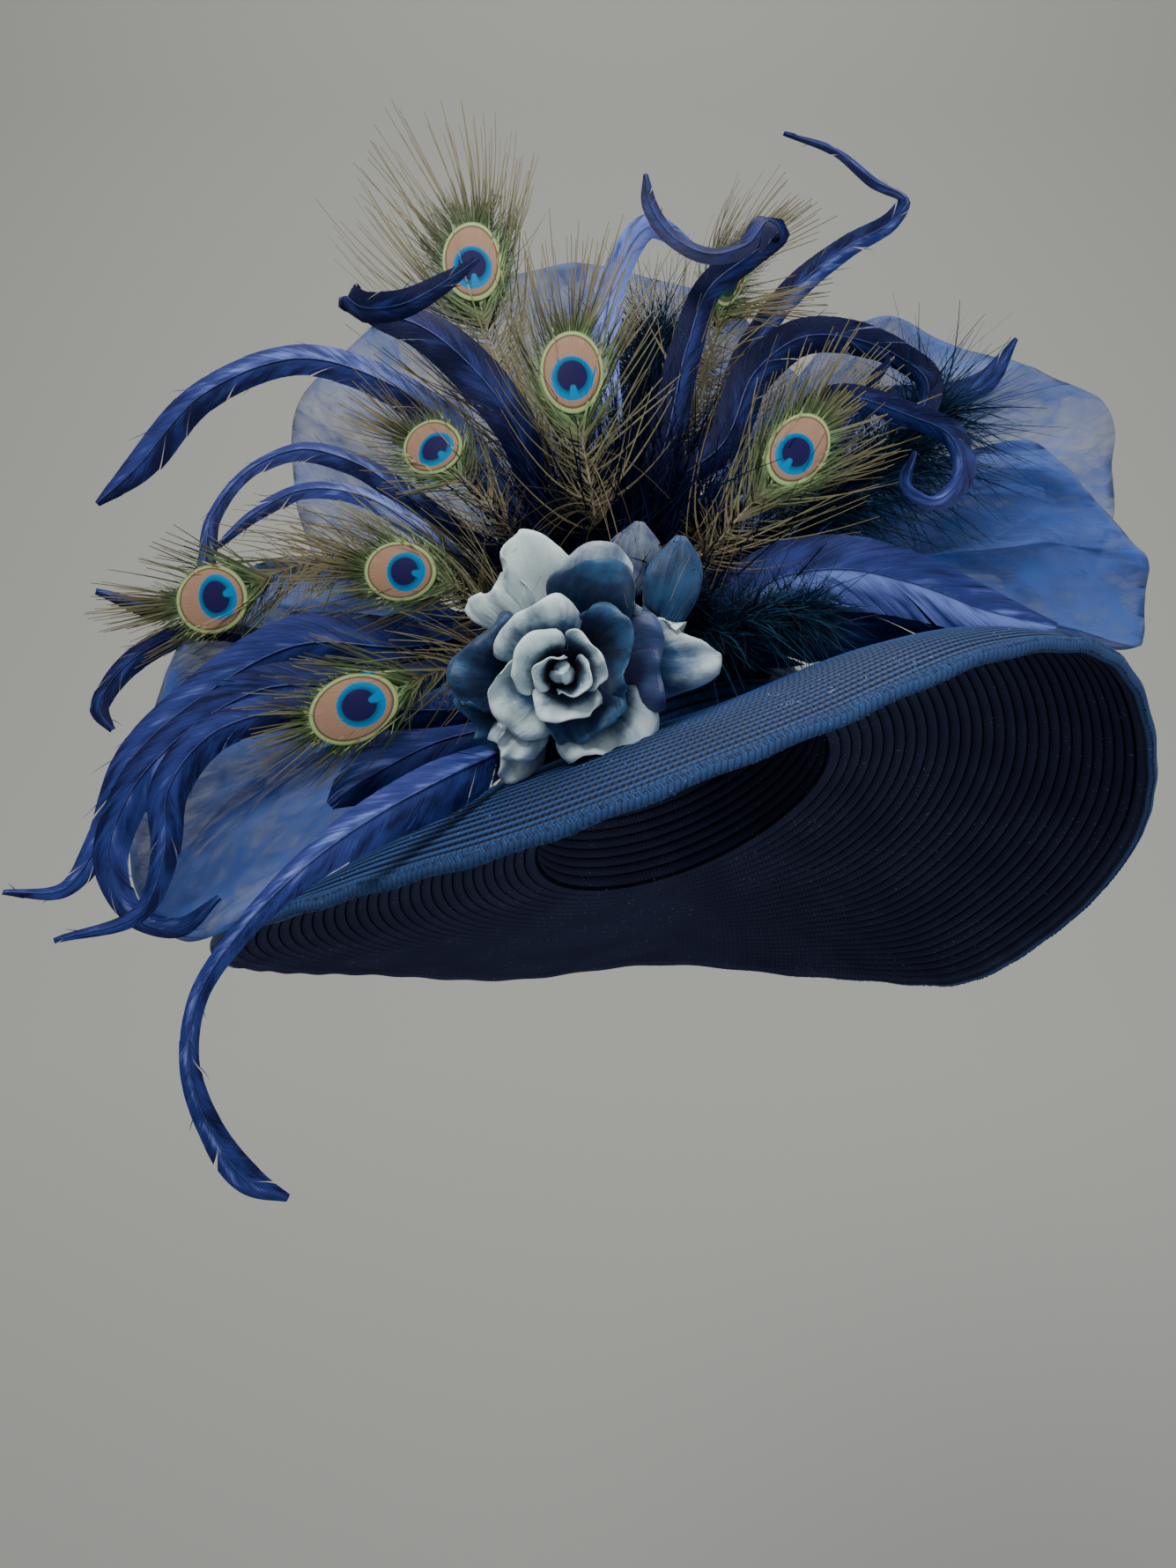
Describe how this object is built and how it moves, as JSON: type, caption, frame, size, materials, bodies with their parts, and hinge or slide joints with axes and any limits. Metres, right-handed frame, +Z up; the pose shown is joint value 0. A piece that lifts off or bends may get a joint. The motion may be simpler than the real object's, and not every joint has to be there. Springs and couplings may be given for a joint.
{
  "type": "church hat",
  "caption": "Wide-brimmed hat of sewn blue straw braid, worn tilted, dressed with a silk rose, peacock feathers, curled cock feathers and gathered net.",
  "frame": {"origin": "the middle of the head opening, at the level where the crown meets the brim", "axes": "+Z up as the hat is worn, -Y towards the front of the hat, +X to the right of someone who looks at its front"},
  "size_m": [0.5318, 0.5, 0.5264],
  "materials": {
    "straw_braid": "sewn straw braid, satin",
    "edge_straw": "doubled straw braid over wire, satin",
    "pad_felt": "matt felt",
    "peacock_barbs": "iridescent barbs",
    "cock_feather_blue": "dyed feather, soft sheen",
    "goose_feather_blue": "dyed feather, soft sheen",
    "plume_navy": "soft fluff",
    "net_blue": "sheer net",
    "petal_silk": "silk satin",
    "leaf_silk": "silk satin"
  },
  "bodies": {
    "root": {"cock_feather_arch_left": "cock_feather_blue", "cock_feather_curl_left": "cock_feather_blue", "cock_feather_far_right": "cock_feather_blue", "cock_feather_fork_left": "cock_feather_blue", "cock_feather_hanging": "cock_feather_blue", "cock_feather_hook_left": "cock_feather_blue", "cock_feather_kinked": "cock_feather_blue", "cock_feather_light_arch": "cock_feather_blue", "cock_feather_long_left": "cock_feather_blue", "cock_feather_low_arch": "cock_feather_blue", "cock_feather_ring": "cock_feather_blue", "cock_feather_short_left": "cock_feather_blue", "cock_feather_small_ring": "cock_feather_blue", "cock_feather_upright": "cock_feather_blue", "cock_feather_wave_left": "cock_feather_blue", "edge_braid": "edge_straw", "goose_feather_left": "goose_feather_blue", "goose_feather_top": "goose_feather_blue", "goose_feather_under": "goose_feather_blue", "hat_body": "straw_braid", "net_left": "net_blue", "net_right_back": "net_blue", "net_right_front": "net_blue", "net_top": "net_blue", "peacock_feather_far_left": "peacock_barbs", "peacock_feather_low_left": "peacock_barbs", "peacock_feather_mid_left": "peacock_barbs", "peacock_feather_middle": "peacock_barbs", "peacock_feather_right": "peacock_barbs", "peacock_feather_slim": "peacock_barbs", "peacock_feather_tall": "peacock_barbs", "peacock_feather_upper_left": "peacock_barbs", "plume_behind": "plume_navy", "plume_dark": "plume_navy", "plume_right": "plume_navy", "rose_back_petal_low": "petal_silk", "rose_back_petal_lower_left": "petal_silk", "rose_back_petal_right": "petal_silk", "rose_back_petal_top": "petal_silk", "rose_back_petal_upper_left": "petal_silk", "rose_bud": "petal_silk", "rose_calyx": "leaf_silk", "rose_heart_petal_left": "petal_silk", "rose_heart_petal_right": "petal_silk", "rose_inner_petal_left": "petal_silk", "rose_inner_petal_low": "petal_silk", "rose_inner_petal_right": "petal_silk", "rose_leaf_right": "leaf_silk", "rose_leaf_up": "leaf_silk", "rose_mid_petal_low": "petal_silk", "rose_mid_petal_lower_left": "petal_silk", "rose_mid_petal_right": "petal_silk", "rose_mid_petal_upper_left": "petal_silk", "rose_outer_petal_left": "petal_silk", "rose_outer_petal_low_right": "petal_silk", "rose_outer_petal_lower_left": "petal_silk", "rose_outer_petal_right": "petal_silk", "rose_outer_petal_top": "petal_silk", "trim_pad": "pad_felt"}
  },
  "joints": []
}
